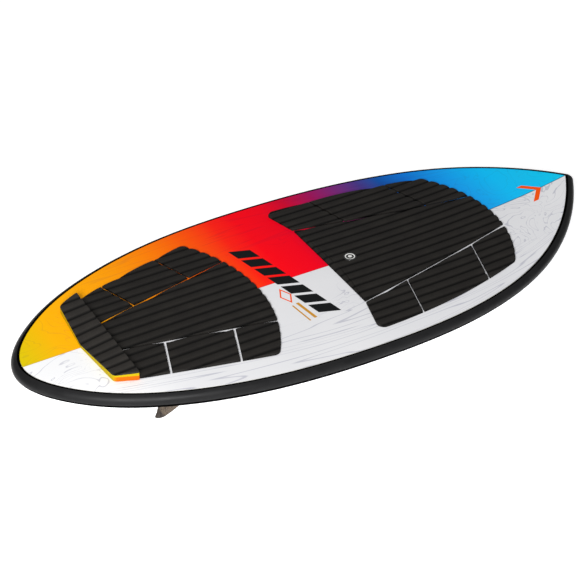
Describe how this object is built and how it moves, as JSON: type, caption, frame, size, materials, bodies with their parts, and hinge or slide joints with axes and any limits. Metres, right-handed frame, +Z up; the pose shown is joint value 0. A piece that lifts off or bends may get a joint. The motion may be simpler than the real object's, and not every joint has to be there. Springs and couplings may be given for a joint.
{
  "type": "wakesurf board",
  "caption": "Short wakesurf board with a soft rail bumper, grooved traction pads with slits, a rear kick wedge and three removable fins.",
  "frame": {"origin": "half way along the board on its centre plane, level with the lowest fin tips", "axes": "+X towards the nose, +Y towards the left rail of a rider facing the nose, +Z up out of the deck"},
  "size_m": [1.215, 0.541, 0.115],
  "materials": {
    "bumper_foam": "satin moulded closed-cell foam",
    "pad_foam": "matte grooved foam sheet",
    "kick_foam": "matte cut foam",
    "deck_print": "satin printed laminate",
    "hull_print": "gloss laminate",
    "core_foam": "fine-celled moulded foam",
    "stringer_wood": "plain plywood",
    "box_plastic": "matte moulded plastic",
    "screw_steel": "plain stainless steel",
    "fin_fibre": "translucent fibre composite",
    "badge_resin": "satin resin"
  },
  "bodies": {
    "board": {"deck_laminate": "deck_print", "fin_box_centre": "box_plastic", "fin_box_left": "box_plastic", "fin_box_right": "box_plastic", "fin_screws_centre": "screw_steel", "fin_screws_left": "screw_steel", "fin_screws_right": "screw_steel", "foam_core_left": "core_foam", "foam_core_right": "core_foam", "front_pad_centre": "pad_foam", "front_pad_left_front": "pad_foam", "front_pad_left_middle": "pad_foam", "front_pad_left_rear": "pad_foam", "front_pad_right_front": "pad_foam", "front_pad_right_middle": "pad_foam", "front_pad_right_rear": "pad_foam", "hull_laminate": "hull_print", "kick_base": "kick_foam", "kick_sheet": "pad_foam", "pad_badge": "badge_resin", "rail_bumper": "bumper_foam", "rear_pad_centre": "pad_foam", "rear_pad_left_front": "pad_foam", "rear_pad_left_middle": "pad_foam", "rear_pad_left_rear": "pad_foam", "rear_pad_right_front": "pad_foam", "rear_pad_right_middle": "pad_foam", "rear_pad_right_rear": "pad_foam", "stringer": "stringer_wood"},
    "fin_left_body": {"fin_left": "fin_fibre"},
    "fin_right_body": {"fin_right": "fin_fibre"},
    "fin_centre_body": {"fin_centre": "fin_fibre"}
  },
  "joints": [
    {"name": "fin_left_pull", "type": "slide", "parent": "board", "child": "fin_left_body", "axis": [0, 0, -1], "range_m": [0, 0.025]},
    {"name": "fin_right_pull", "type": "slide", "parent": "board", "child": "fin_right_body", "axis": [0, 0, -1], "range_m": [0, 0.025]},
    {"name": "fin_centre_pull", "type": "slide", "parent": "board", "child": "fin_centre_body", "axis": [0, 0, -1], "range_m": [0, 0.025]}
  ]
}
